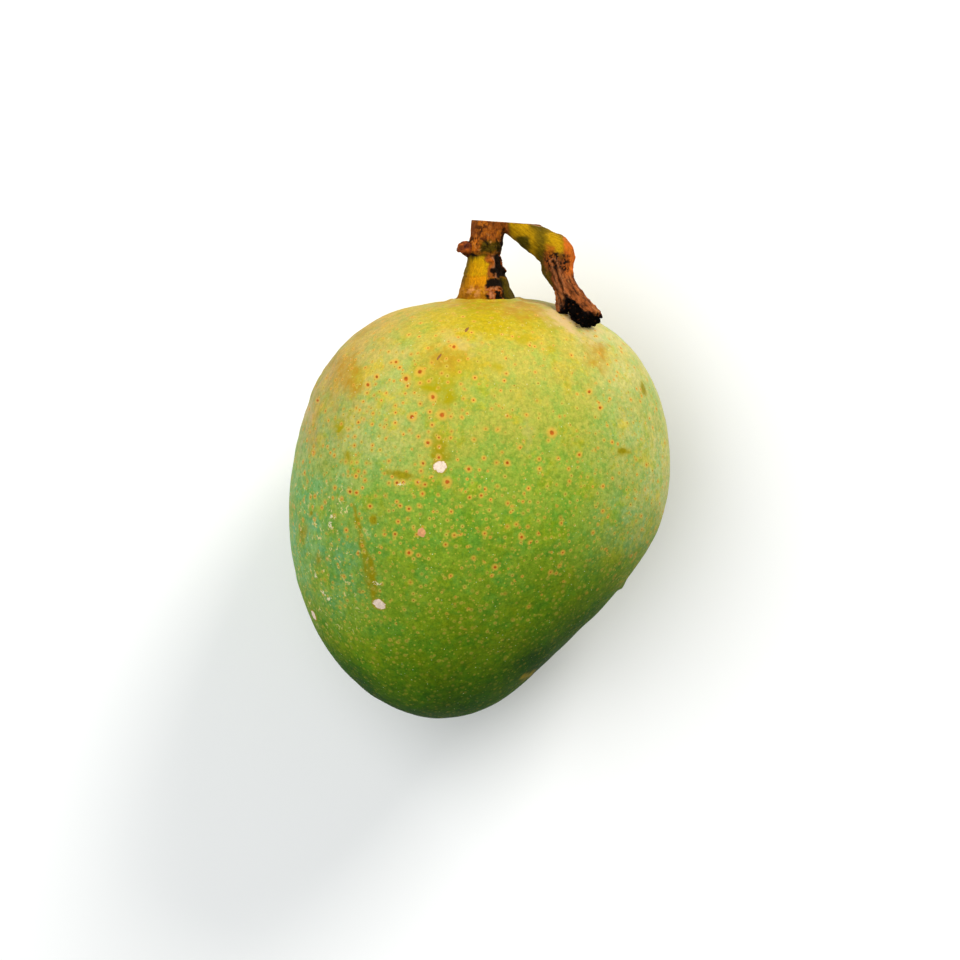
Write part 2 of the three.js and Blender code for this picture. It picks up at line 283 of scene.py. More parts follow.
def grain(points, cell, seed=0, octaves=1):
    """Smooth noise from about -1 to 1: random values on a lattice of that cell size, blended."""
    total, weight, weights = 0, 1.0, 0.0
    for octave in range(octaves):
        place = np.asarray(points, float) / cell * 2**octave + SEED_SHIFT * (seed + octave)
        base = np.floor(place).astype(np.int64)
        f = place - base
        f = f * f * f * (f * (f * 6 - 15) + 10)
        value = 0
        for corner in range(8):
            step = np.array([corner & 1, corner >> 1 & 1, corner >> 2 & 1])
            at = (base + step) & 0xFFFFF
            x, y, z = np.moveaxis(at * LATTICE_PRIMES, -1, 0)
            key = x ^ y ^ z ^ (seed + 1) * SEED_PRIME
            key = ((key ^ key >> 13) * MIXING_PRIME) & 0x7FFFFFFF
            key = (key ^ key >> 15) & 0xFFFF
            share = np.prod(np.where(step, f, 1 - f), -1)
            value = value + share * (key / 32767.5 - 1)
        total = total + weight * value
        weights += weight
        weight *= 0.5
    return total / weights * NOISE_CONTRAST


def soft_step(low, high, value):
    """0 at low and 1 at high, smooth between them."""
    t = np.clip((value - low) / (high - low), 0, 1)
    return t * t * (3 - 2 * t)


def bell(value, middle, width):
    return np.exp(-(((value - middle) / width) ** 2))


def band(value, low, high, soft):
    """1 from low to high, fading over soft on both sides of each."""
    return soft_step(low - soft, low + soft, value) * soft_step(high + soft, high - soft, value)


def box_mask(x, z, x_range, z_range, soft):
    """1 inside a box seen from the front, fading over soft millimetres."""
    return band(x, *x_range, soft) * band(z, *z_range, soft)


def smooth_loop(values):
    """A closed run through evenly spaced values, as the cubic B-spline of the part's source."""
    values = np.asarray(values, float)
    control = values - (np.roll(values, 1) - 2 * values + np.roll(values, -1)) / 6

    def at(t):
        t = np.asarray(t, float)
        first = np.floor(t).astype(int)
        f = t - first
        weights = [(1 - f) ** 3, 3 * f**3 - 6 * f**2 + 4, -3 * f**3 + 3 * f**2 + 3 * f + 1, f**3]
        return sum(w * control[(first + k - 1) % len(values)] for k, w in enumerate(weights)) / 6

    return at


STATIONS = len(LEFT_SIDE) + 1
OUTLINE = [CROWN, *LEFT_SIDE, TIP, *reversed(RIGHT_SIDE)]
outline_x = smooth_loop([p[0] for p in OUTLINE])
outline_z = smooth_loop([p[1] for p in OUTLINE])
half_depth = smooth_loop([0, *HALF_DEPTH, 0, *[-d for d in reversed(HALF_DEPTH)]])


def skin_point(down, angle):
    """The bare skin at a share of the way down and an angle round it, from the beak side to the back."""
    t = down * STATIONS
    across = (1 + np.cos(angle)) / 2
    x = outline_x(t) * (1 - across) + outline_x(-t) * across
    z = outline_z(t) * (1 - across) + outline_z(-t) * across
    y = half_depth(t) * np.sin(angle) * (1 + EGG * np.cos(angle))
    return np.stack([x, y + CHEEK_OFFSET * np.sin(np.pi * down) ** 2, z], -1)


def outward(down, angle):
    """The bare skin's normal."""
    step = 1e-3
    along = skin_point(down + step, angle) - skin_point(down - step, angle)
    around = skin_point(down, angle + step) - skin_point(down, angle - step)
    normal = np.cross(along, around)
    return normal / np.maximum(np.linalg.norm(normal, axis=-1, keepdims=True), 1e-9)


def swelling(down, angle, points):
    """The large relief of the part's source."""
    fade = np.sin(np.pi * down) ** 2
    swell = sum(
        height * np.sin(around * angle + phase) * np.cos(along * np.pi * down + phase)
        for height, around, along, phase in SWELLINGS
    )
    to_beak = np.linalg.norm(points - np.array(BEAK), axis=-1)
    return fade * swell + BEAK_HEIGHT * np.exp(-((to_beak / BEAK_RADIUS) ** 2))


def front_points():
    """Points all over the bare skin's front."""
    down, angle = np.meshgrid(np.linspace(0.01, 0.99, 140), np.linspace(0, 2 * np.pi, 260), indexing="ij")
    points = skin_point(down, angle).reshape(-1, 3)
    return points[points[:, 1] < 0]


FRONT = front_points()


def on_cheek(x, z, rounds=4):
    """The point of the front cheek that the camera sees at a place of the upright sheet."""
    lean = math.radians(CAMERA_LEAN_DEG)
    eye = np.array(AIM) + CAMERA_DISTANCE * np.array([0, -math.cos(lean), math.sin(lean)])
    sight = np.array([x, 0, z]) - eye
    place = np.array([x, 0, z])
    for _ in range(rounds):
        y = FRONT[np.hypot(FRONT[:, 0] - place[0], FRONT[:, 2] - place[2]).argmin(), 1]
        place = eye + sight * (y - eye[1]) / sight[1]
    return place


def mark_shape(points, mark):
    """How near points are to a mark's middle: 1 there, and 0.37 at its edge."""
    half_width, half_height, turn = mark[2:5]
    x, _, z = on_cheek(*mark[:2])
    c, s = math.cos(math.radians(turn)), math.sin(math.radians(turn))
    dx, dz = points[..., 0] - x, points[..., 2] - z
    u, v = (dx * c + dz * s) / half_width, (dz * c - dx * s) / half_height
    return np.exp(-((u * u + v * v) ** 1.5)) * (points[..., 1] < 0)


def fine_relief(down, angle, points):
    """Low waves and pores of the skin, the rim round the stalk's foot, the beak's nick and raised scars."""
    x, y, z = points[..., 0], points[..., 1], points[..., 2]
    height = sum(wave * grain(points, size, seed) for wave, size, seed in SKIN_WAVES) - SKIN_SINK
    from_stalk = np.hypot(x - STALK_AXIS[0], y - STALK_AXIS[1])
    rugged = soft_step(-24, -40, x) * soft_step(60, 75, z) * soft_step(101, 92, z)
    height += RUGGED_HEIGHT * rugged * grain(points, 5.0, 4, 2)
    top = down < 0.3
    height += top * FOOT_RIM[2] * bell(from_stalk, *FOOT_RIM[:2])
    folds = np.sin(FOLDS_AROUND * angle + 0.4 * from_stalk)
    height += top * FOOT_FOLDS[2] * folds * bell(from_stalk, *FOOT_FOLDS[:2])
    above = (points - np.array(BEAK)) @ np.array([0.62, 0, 0.78])
    near = bell(np.hypot(y, 0.45 * above), 0, 2.6) * (x > 20)
    height += 0.42 * near * np.tanh(above / 0.7) - 0.25 * near
    for mark in WHITE_SCARS + PINK_SCABS + FLAKES:
        height += SCAR_HEIGHT * mark_shape(points, mark)
    return height


def stain(points, spots, ragged=0.7):
    """How much of a stain's colour shows: soft blots with wandering edges."""
    drift_x = ragged * grain(points, 2.0, 21, 3)
    drift_z = ragged * grain(points, 2.0, 22, 3)
    drifted = points + np.stack([drift_x, 0 * drift_x, drift_z], -1)
    bare = 1.0
    for spot in spots:
        bare = bare * (1 - spot[5] * mark_shape(drifted, spot))
    return 1 - bare


ZONES = ["shift_and_shade", "tan", "cool_sheen", "sheen_and_pale", "olive", "brown", "pink", "gold", "cork", "big_dots", "small_dots"]


def skin_zones(down, angle, points):
    """How strongly each colour of the skin shows at each point of it."""
    x, y, z = points[..., 0], points[..., 1], points[..., 2]
    to_right = np.cos(angle)
    left_rim = soft_step(0.55, 0.98, -to_right)
    right_rim = soft_step(0.40, 0.98, to_right)
    patchy = grain(points, 7.0, 31, 3)
    high = soft_step(62, 86, z + 5 * patchy)
    # Where the painted cool sky reflection shows on the left flank, by height.
    cool_sheen_run = soft_step(88, 72, z + 4 * patchy) * soft_step(20, 42, z)
    # Shifts of the ramp's level: lighter low on the left, darker over the right half and in the middle.
    shift_and_shade = 10 * soft_step(-5, -24, x) * soft_step(-43, -32, x) * soft_step(45, 28, z) * soft_step(14, 26, z)
    shift_and_shade -= 6 * soft_step(-5, 25, x) * soft_step(96, 76, z)
    # Painted shade: darker low on the right flank and along the lower left rim.
    shift_and_shade -= 11 * soft_step(0.25, 0.95, to_right) * soft_step(52, 30, z) * soft_step(5, 18, z)
    shift_and_shade -= 10 * soft_step(0.60, 0.96, -to_right) * soft_step(40, 22, z)
    shift_and_shade -= 9 * bell(x, -7, 15) * bell(z, 54, 11)
    unseen = soft_step(0, 12, y) * soft_step(15, 40, z)
    blots = grain(points * np.array([1, 1, 0.6]), 6.0, 37, 3)
    fair = 0.45 * soft_step(-6, -24, x) * soft_step(58, 70, z) * soft_step(101, 90, z)
    olive = 1.6 * stain(points, OLIVE_STAINS + OLIVE_STREAK) + 0.7 * unseen * soft_step(0.5, 0.8, blots)
    brown = 1.5 * stain(points, BROWN_STAINS, 1.6) + 0.6 * unseen * soft_step(-0.5, -0.8, blots)
    return {
        "shift_and_shade": shift_and_shade,
        "tan": np.clip(left_rim * high * (0.85 + 0.35 * patchy) * soft_step(106, 98, z), 0, 1),
        "cool_sheen": np.clip(soft_step(0.35, 0.97, -to_right) * cool_sheen_run * (0.8 + 0.7 * patchy), 0, 1),
        # A painted sheen along the right rim, and paler skin at the upper left.
        "sheen_and_pale": np.clip((right_rim * soft_step(34, 62, z) + fair) * (0.9 + 0.4 * patchy), 0, 1),
        "gold": stain(points, GOLD_STAINS, 1.6),
        "olive": np.clip(olive, 0, 1),
        "brown": np.clip(brown, 0, 1),
        "pink": stain(points, PINK_STAINS, 1.4),
        "cork": np.clip(soft_step(-22, -34, x) * soft_step(68, 58, z) * soft_step(18, 30, z), 0, 1),
        "big_dots": (0.40 + 0.35 * soft_step(25, -15, x)) * soft_step(22, 58, z + 0.3 * (x + 10)),
        "small_dots": soft_step(92, 50, z) * 0.35 + 0.40,
    }


def grid_faces(steps, sides):
    """Faces of rings of points, closed by a fan to one more point at each end."""
    faces = []
    for i in range(steps - 1):
        for j in range(sides):
            k = (j + 1) % sides
            faces.append((i * sides + j, (i + 1) * sides + j, (i + 1) * sides + k, i * sides + k))
    first, last, low = steps * sides, steps * sides + 1, (steps - 1) * sides
    faces += [(first, j, (j + 1) % sides) for j in range(sides)]
    faces += [(last, low + (j + 1) % sides, low + j) for j in range(sides)]
    return faces


def add_object(name, data):
    """Puts a mesh, a light or a camera into the scene."""
    made = bpy.data.objects.new(name, data)
    bpy.context.scene.collection.objects.link(made)
    return made


def new_piece(name, points, faces):
    mesh = bpy.data.meshes.new(name)
    mesh.from_pydata(points.tolist(), [], faces)
    mesh.shade_smooth()
    return add_object(name, mesh)


def piece_of(name, made):
    """A piece of a bmesh, which is freed."""
    mesh = bpy.data.meshes.new(name)
    made.to_mesh(mesh)
    made.free()
    return add_object(name, mesh)


def store(mesh, name, values, kind="FLOAT"):
    """Keeps a value for each point of a mesh, for its material."""
    attribute = mesh.attributes.new(name, kind, "POINT")
    key = {"FLOAT": "value", "FLOAT_VECTOR": "vector", "FLOAT_COLOR": "color"}[kind]
    attribute.data.foreach_set(key, np.ascontiguousarray(values, np.float32).ravel())


def fruit_piece():
    downs = np.arange(1, FRUIT_STEPS) / FRUIT_STEPS
    angles = np.arange(FRUIT_SIDES) / FRUIT_SIDES * 2 * np.pi
    down, angle = np.meshgrid(downs, angles, indexing="ij")
    points = skin_point(down, angle)
    height = swelling(down, angle, points) + fine_relief(down, angle, points)
    points = points + outward(down, angle) * height[..., None]
    from_stalk = np.hypot(points[..., 0] - STALK_AXIS[0], points[..., 1] - STALK_AXIS[1])
    points[..., 2] -= np.where(down < 0.5, HOLLOW_DEPTH * np.exp(-((from_stalk / HOLLOW_RADIUS) ** 2)), 0)
    points[..., 1] = np.minimum(points[..., 1], REST_Y)
    ends = np.array([(CROWN[0], 0, CROWN[1] - HOLLOW_DEPTH), (TIP[0], 0, TIP[1] + TIP_LIFT)])
    drawn = np.concatenate([points.reshape(-1, 3), ends])
    piece = new_piece("mango_skin", laid(drawn), grid_faces(*down.shape))
    zones = skin_zones(down, angle, points)
    for name in ZONES:
        values = zones[name]
        store(piece.data, name, np.concatenate([values.ravel(), [values[0].mean(), values[-1].mean()]]))
    store(piece.data, "drawn", drawn, "FLOAT_VECTOR")
    normals = outward(down, angle).reshape(-1, 3)
    store(piece.data, "facing", np.concatenate([normals, [(0, 0, 1), (0, 0, -1)]]), "FLOAT_VECTOR")
    return piece


def between(first, last, t, low, high):
    """First where t is low, last where it is high, and in proportion elsewhere."""
    return (high - t) / (high - low) * first + (t - low) / (high - low) * last


def limb_path(stations, samples):
    """Centres and radii along a limb, on the centripetal Catmull-Rom curve through its stations."""
    stations = np.asarray(stations, float)
    ends = [2 * stations[0] - stations[1], 2 * stations[-1] - stations[-2]]
    run = np.concatenate([[ends[0]], stations, [ends[1]]])
    parts = []
    for i in range(len(stations) - 1):
        p = run[i : i + 4]
        gaps = np.maximum(np.linalg.norm(np.diff(p[:, :3], axis=0), axis=1) ** 0.5, 1e-4)
        k = np.concatenate([[0], np.cumsum(gaps)])
        t = (k[1] + (k[2] - k[1]) * np.linspace(0, 1, samples, endpoint=False))[:, None]
        a = [between(p[j], p[j + 1], t, k[j], k[j + 1]) for j in range(3)]
        b = [between(a[j], a[j + 1], t, k[j], k[j + 2]) for j in range(2)]
        parts.append(between(b[0], b[1], t, k[1], k[2]))
    path = np.concatenate([*parts, stations[-1:]])
    return path[:, :3], path[:, 3]


def limb_frames(centres):
    """A tangent and two cross directions at each centre, turned as little as possible along the way."""
    tangents = np.gradient(centres, axis=0)
    tangents /= np.linalg.norm(tangents, axis=1, keepdims=True)
    side = np.cross(tangents[0], [0, 1, 0])
    sides = []
    for tangent in tangents:
        side = side - tangent * (side @ tangent)
        side /= np.linalg.norm(side)
        sides.append(side)
    sides = np.array(sides)
    return tangents, sides, np.cross(sides, tangents)


def limb_piece(name, stations, sides=56, samples=10):
    centres, radii = limb_path(stations, samples)
    _, first, second = limb_frames(centres)
    angles = np.arange(sides) / sides * 2 * np.pi
    ring = np.cos(angles)[None, :, None] * first[:, None] + np.sin(angles)[None, :, None] * second[:, None]
    points = centres[:, None] + ring * radii[:, None, None]
    drawn = np.concatenate([points.reshape(-1, 3), centres[[0, -1]]])
    return new_piece(name, drawn, grid_faces(len(centres), sides))


def combine(piece, other, operation):
    """Joins other to piece, or cuts it away, and deletes it."""
    modifier = piece.modifiers.new("combine", "BOOLEAN")
    modifier.operation = operation
    modifier.solver = "EXACT"
    modifier.object = other
    settle(piece)
    bpy.data.objects.remove(other)


def settle(piece):
    """Applies a piece's modifiers."""
    made = piece.evaluated_get(bpy.context.evaluated_depsgraph_get())
    mesh = bpy.data.meshes.new_from_object(made)
    piece.modifiers.clear()
    piece.data = mesh


def rot_piece():
    """The rough hollow at the twig's end."""
    made = bmesh.new()
    bmesh.ops.create_icosphere(made, subdivisions=4, radius=1)
    direction = Vector(ROT_DIRECTION).normalized()
    turn = Vector((1, 0, 0)).rotation_difference(direction).to_matrix()
    points = []
    for vertex in made.verts:
        rough = 1 + 0.16 * noise.noise(vertex.co * 2.6) + 0.08 * noise.noise(vertex.co * 6)
        points.append(turn @ Vector(c * h * rough for c, h in zip(vertex.co, ROT_HALF_SIZE)) + Vector(ROT))
    faces = [[v.index for v in face.verts] for face in made.faces]
    made.free()
    return new_piece("rot", np.array([tuple(p) for p in points]), faces)


def block_above_cut():
    made = bmesh.new()
    bmesh.ops.create_cube(made, size=BLOCK)
    turn = Matrix.Rotation(math.radians(CUT_TILT_DEG), 4, "Y")
    place = Matrix.Translation((0, 0, CUT_HEIGHT)) @ turn @ Matrix.Translation((0, 0, BLOCK / 2))
    bmesh.ops.transform(made, matrix=place, verts=made.verts)
    return piece_of("above_cut", made)


def wood_solid():
    """Stalk, knob, spur, twig and splinter as one skin of small even faces, drawn upright in millimetres."""
    wood = limb_piece("wood", TWIG)
    combine(wood, rot_piece(), "DIFFERENCE")
    for name, stations in {"stalk": STALK, "knob": KNOB, "spur": SPUR, "splinter": SPLINTER}.items():
        combine(wood, limb_piece(f"{name}_limb", stations), "UNION")
    combine(wood, block_above_cut(), "DIFFERENCE")
    remesh = wood.modifiers.new("even", "REMESH")
    remesh.mode = "VOXEL"
    remesh.voxel_size = WOOD_VOXEL
    settle(wood)
    return wood


def place_on_limb(points, stations):
    """Where points are on a limb.

    That is how far along it, the turn from its front to its right in degrees, the distance from its middle as
    a share of its radius, and that radius.
    """
    centres, radii = limb_path(stations, 16)
    tangents, _, _ = limb_frames(centres)
    squares = (points**2).sum(1)[:, None] - 2 * points @ centres.T + (centres**2).sum(1)
    nearest = squares.argmin(1)
    offset = points - centres[nearest]
    tangent = tangents[nearest]
    along = (offset * tangent).sum(1)
    across = offset - along[:, None] * tangent
    right = np.cross(tangent, [0, -1, 0])
    right *= np.sign(right[:, :1]) / np.linalg.norm(right, axis=1, keepdims=True)
    front = np.cross(right, tangent)
    front *= -np.sign(front[:, 1:2])
    run = np.concatenate([[0], np.cumsum(np.linalg.norm(np.diff(centres, axis=0), axis=1))])
    turn = np.degrees(np.arctan2((across * right).sum(1), (across * front).sum(1)))
    reach = np.linalg.norm(across, axis=1)
    return run[nearest] + along, turn, reach / radii[nearest], radii[nearest]


def to_line(x, z, line):
    """Distance from points to a run of straight lines, seen from the front."""
    nearest = np.full(x.shape, 1e9)
    for (x0, z0), (x1, z1) in zip(line, line[1:]):
        dx, dz = x1 - x0, z1 - z0
        t = np.clip(((x - x0) * dx + (z - z0) * dz) / (dx * dx + dz * dz), 0, 1)
        nearest = np.minimum(nearest, np.hypot(x - x0 - t * dx, z - z0 - t * dz))
    return nearest


class Wood:
    """The wood's points with what its relief and colours are made from."""

    def __init__(self, points, normals):
        self.points, self.normals = points, normals
        limbs = [STALK, TWIG, SPLINTER, KNOB]
        places = [np.stack(place_on_limb(points, limb)) for limb in limbs]
        outside = np.stack([(share - 1) * radius for _, _, share, radius in places])
        self.limb = outside.argmin(0)
        chosen = np.stack(places)[self.limb, :, np.arange(len(points))]
        self.along, self.turn, self.share, self.radius = chosen.T
        self.on_stalk = soft_step(8.6, 7.2, points[:, 0] + 0.12 * (points[:, 2] - 118))
        self.on_splinter = (self.limb == limbs.index(SPLINTER)) * 1.0
        self.on_knob = (self.limb == limbs.index(KNOB)) * 1.0
        angle = np.radians(self.turn)
        girth = np.maximum(self.radius, 1)
        self.fibre = np.stack([np.cos(angle) * girth, np.sin(angle) * girth, self.along * FIBRE_STRETCH], 1)
        self.fibre[:, 2] += LIMB_SPACING * self.limb
        cut_normal = np.array([math.sin(math.radians(CUT_TILT_DEG)), 0, math.cos(math.radians(CUT_TILT_DEG))])
        self.below_cut = (np.array([0, 0, CUT_HEIGHT]) - points) @ cut_normal
        self.cut = soft_step(0.5, 0.2, self.below_cut) * soft_step(0.6, 0.85, normals @ cut_normal)
        self.rot = self.rotten()
        self.front = soft_step(-0.15, 0.35, -normals[:, 1])
        self.lumpy = grain(points, 1.6, 79, 2)
        self.net = grain(points, 1.1, 81, 2)
        self.splits = grain(self.fibre * np.array([1, 1, 2.6]), 0.9, 82, 2)
        drift = CRACK_DRIFT * grain(points, 1.2, 58)
        self.to_crack = to_line(points[:, 0] + drift, points[:, 2], CRACK)
        self.crack_side = self.front * (1 - self.on_stalk) * (1 - self.on_splinter)

    def rotten(self):
        """1 in the hollow and below its rim, 0 on sound wood."""
        points, normals = self.points, self.normals
        direction = np.array(ROT_DIRECTION) / np.linalg.norm(ROT_DIRECTION)
        from_rot = points - np.array(ROT)
        along_rot = from_rot @ direction
        across_rot = np.linalg.norm(from_rot - along_rot[:, None] * direction, axis=1)
        rot_share = np.hypot(along_rot / ROT_HALF_SIZE[0], across_rot / (sum(ROT_HALF_SIZE[1:]) / 2))
        into = (normals * -from_rot).sum(1) / np.maximum(np.linalg.norm(from_rot, axis=1), 1e-6)
        rot_share += 0.1 * grain(points, 0.9, 61, 2)
        hollow = soft_step(1.34, 1.16, rot_share) * soft_step(-0.5, 0.1, into)
        rim_z = np.interp(points[:, 0], *ROT_RIM) + 0.4 * grain(points, 0.9, 62, 2)
        toward_end = normals @ np.array([0.36, -0.8, -0.48])
        decayed = soft_step(0.35, -0.25, points[:, 2] - rim_z) * soft_step(-0.35, 0.05, toward_end)
        return np.maximum(hollow, decayed * soft_step(14, 16, points[:, 0]))

    def relief(self):
        """Heights in millimetres: fibres, bark ridges, rings, cracks and pits."""
        points, turn, lumpy = self.points, self.turn, self.lumpy
        x, z = points[:, 0], points[:, 2]
        stalk, twig = self.on_stalk, 1 - self.on_stalk
        fibres = grain(self.fibre, 0.75, 51, 2)
        lumps = grain(points, 1.9, 52, 2)
        crust = grain(points, 0.8, 53, 2)
        wander = 7 * grain(points, 2.2, 54)
        trunk = soft_step(104.5, 106.5, z) * soft_step(122, 116, z)

        height = stalk * (0.05 * fibres + 0.10 * lumps)
        below_ring = soft_step(111.5, 110.5, z)
        ridge = bell(turn + wander, 28 - 4 * below_ring, 11) * trunk * stalk
        height += ridge * (0.42 + 0.3 * np.clip(crust, -0.6, 1) + 0.55 * np.clip(lumpy, -0.7, 1))
        foot_lumps = bell(z, 106.8, 1.4) * bell(turn, 24, 17) * stalk
        height += foot_lumps * (0.30 + 0.55 * crust)
        pits = band(turn + wander, 42, 80 - 20 * below_ring, 5) * trunk * stalk
        height -= pits * (0.30 + 0.45 * np.clip(-crust, 0, 1))
        for ring, depth in STALK_RINGS:
            height -= depth * stalk * bell(z + 0.35 * grain(points, 3.5, 55), ring, 0.24)
        wrinkles = bell(z, 107.0, 1.1) * bell(turn, -30, 30) * stalk
        height += wrinkles * (0.25 + 0.5 * lumpy + 0.2 * np.sin(z * 7.5 + 2.5 * grain(points, 1.6, 56)))
        height += stalk * bell(z, 118.2, 1.2) * (0.25 + 0.3 * crust) * soft_step(150, 60, np.abs(turn))
        height += stalk * 0.12 * bell(z, 105.9, 1.0) * np.sin(np.radians(turn) * 9)

        low = soft_step(119, 113, z)
        height += twig * (0.06 + 0.16 * low) * fibres + twig * 0.16 * lumps + twig * low * 0.10 * crust
        height -= twig * 0.16 * bell(self.splits, 0, 0.16)
        height -= stalk * 0.10 * bell(self.net, 0, 0.14) * soft_step(116.5, 118, z)
        speckle = box_mask(x, z, (16.2, 22.3), (111.8, 117), 0.8) * self.front * twig
        height -= speckle * 0.22 * np.clip(grain(points, 0.55, 57), 0, 1)
        lip = bell(self.to_crack, 0.7, 0.3)
        height += self.crack_side * (0.20 * lip - 0.45 * bell(self.to_crack, 0, 0.26))
        height += self.rot * (0.35 * crust - 0.15 * np.clip(-lumps, 0, 1))
        rim = bell(self.rot, 0.5, 0.22) * twig
        height += rim * 0.25 * np.clip(crust + 0.3, 0, 1)
        fade = soft_step(0.0, 0.6, self.below_cut)
        height = height * fade + self.cut * (0.04 * np.sin(self.share * YEAR_RINGS) + 0.03 * crust)
        return np.clip(height, -DEEPEST_BARK, HIGHEST_BARK)

    def colors(self):
        """Colours laid on one over the other, painted shade and painted highlight among them."""
        points, turn, lumpy = self.points, self.turn, self.lumpy
        x = points[:, 0] + 0.45 * grain(points, 1.3, 71, 2)
        z = points[:, 2] + 0.45 * grain(points, 1.3, 72, 2)
        fibres = grain(self.fibre, 0.6, 73, 3)
        crust = grain(points, 0.7, 74, 3)
        patches = grain(points, 3.2, 75, 2)
        wander = 8 * grain(points, 1.5, 76, 2)
        twig, front = 1 - self.on_stalk, self.front
        color = np.ones((len(points), 3)) * np.array(STALK_AMBER)

        def coat(paint, mask):
            """Lays a colour, or one for each point, over those below."""
            mask = np.clip(mask, 0, 1)[:, None]
            color[:] = color * (1 - mask) + np.array(paint) * mask

        trunk = soft_step(117.4, 115.8, z)
        above = 1 - trunk
        side = turn + wander
        net = bell(self.net, 0, 0.10)
        left = soft_step(-32, -68, turn) * soft_step(-180, -120, turn)
        coat(STALK_GREEN, band(z, 110.9, 116.2, 0.4) * (0.85 + 0.3 * patches))
        # The stalk darker towards its foot, partly painted shade where it meets the fruit.
        color *= 1 - 0.4 * soft_step(109.2, 105.6, z)[:, None]
        # Olive along the stalk's left edge, partly painted shade of that edge.
        coat(STALK_OLIVE, 0.75 * left * soft_step(106, 110, z))
        coat(STALK_OLIVE, 0.45 * band(z, 115.0, 118.0, 0.5))
        # On the folds at the stalk's foot: painted highlight in salmon on the raised lumps, painted shade in
        # reddish bark between them.
        foot = bell(z, 107.0, 1.2) * bell(turn, -30, 30)
        coat(REDDISH_BARK, foot * soft_step(0.2, -0.4, lumpy + 0.3 * crust))
        coat(SALMON_BARK, foot * soft_step(0.0, 0.5, lumpy + 0.4 * crust) * 0.85)
        coat(BARK_BROWN, soft_step(0.1, 0.7, patches + 0.4 * crust) * soft_step(110, 150, np.abs(turn)) * 0.8)
        upper = trunk * soft_step(109.9, 110.7, z)
        lower = trunk - upper
        coat(REDDISH_BARK, 0.95 * band(side, 8, 34, 5) * upper)
        coat(BARK_ORANGE, 0.7 * band(side, 8, 26, 5) * upper * soft_step(0.1, 0.6, lumpy + 0.4 * crust))
        # Dark bark and olive on the stalk's right side: partly dark bark, partly painted shade.
        coat(BARK_DARK, band(side, 25, 96, 4) * upper)
        coat(STALK_OLIVE, 0.7 * band(side, 88, 140, 6) * upper)
        coat(BARK_PALE, 0.85 * bell(side, 26, 3.5) * upper * soft_step(-0.4, 0.1, lumpy))
        # Dark bark and olive on the stalk's right side: partly dark bark, partly painted shade.
        coat(BARK_DARK, band(side, 2, 52, 4) * lower)
        coat(STALK_OLIVE, band(side, 46, 140, 9) * lower * 0.95)
        lumps = band(z, 104.8, 107.8, 0.5) * band(side, 2, 38, 4)
        coat(BARK_ORANGE, 0.8 * lumps * soft_step(0.05, 0.4, lumpy + 0.6 * crust))
        coat(BARK_PALE, 0.8 * lumps * soft_step(0.4, 0.75, lumpy + 0.6 * crust))
        coat(BARK_DARK, 0.5 * net * trunk * band(side, 2, 60, 5))
        coat(BARK_ORANGE, above * (0.85 + 0.2 * patches))
        coat(REDDISH_BARK, above * soft_step(0.2, -0.3, crust) * 0.6)
        coat(STALK_OLIVE, above * band(side, -22, 70, 8) * soft_step(120.6, 119.2, z + 0.5 * patches) * 0.95)
        # More of the dark right side above: partly dark bark, partly painted shade.
        coat(BARK_DARK, above * band(side, 56, 120, 9) * soft_step(123, 120.5, z + patches))
        coat(BARK_DARK, above * (soft_step(-0.3, -0.6, crust + 0.5 * lumpy) * 0.8 + 0.6 * net))
        coat(SALMON_BARK, above * soft_step(0.45, 0.8, crust) * 0.5)
        # Dark at the foot of the knob and in the ring groove below it: painted shade of the recess.
        coat(BARK_DARK, 0.9 * bell(z, 116.0, 0.7) * bell(turn, -42, 16) + 0.6 * bell(z, 116.1, 0.3))
        coat(BARK_BROWN, soft_step(119.0, 121.5, z) * (0.55 + 0.5 * patches))
        knob = np.array(BARK_ORANGE) * (0.6 + 0.5 * crust)[:, None]
        coat(np.clip(knob, 0.01, 1), self.on_knob)
        coat(BARK_DARK, self.on_knob * soft_step(-0.1, -0.5, lumpy) * 0.8)

        wood = np.array(LIMB_BARK) * (1 + 0.45 * fibres + 0.3 * patches)[:, None]
        coat(np.clip(wood, 0.01, 1), twig)
        coat(BARK_BROWN, twig * soft_step(0.0, 0.7, crust + 0.5 * fibres) * 0.7)
        coat(BARK_DARK, twig * 0.75 * bell(self.splits, 0, 0.13))
        coat(SALMON_BARK, twig * 0.4 * soft_step(0.4, 0.9, fibres))
        coat(BARK_DARK, twig * soft_step(0.25, 0.75, -fibres) * 0.75)
        high = twig * soft_step(114.6, 117.0, z + 1.0 * patches)
        left = twig * soft_step(17.4, 16.2, x + 0.35 * (z - 112)) * soft_step(106, 108.5, z)
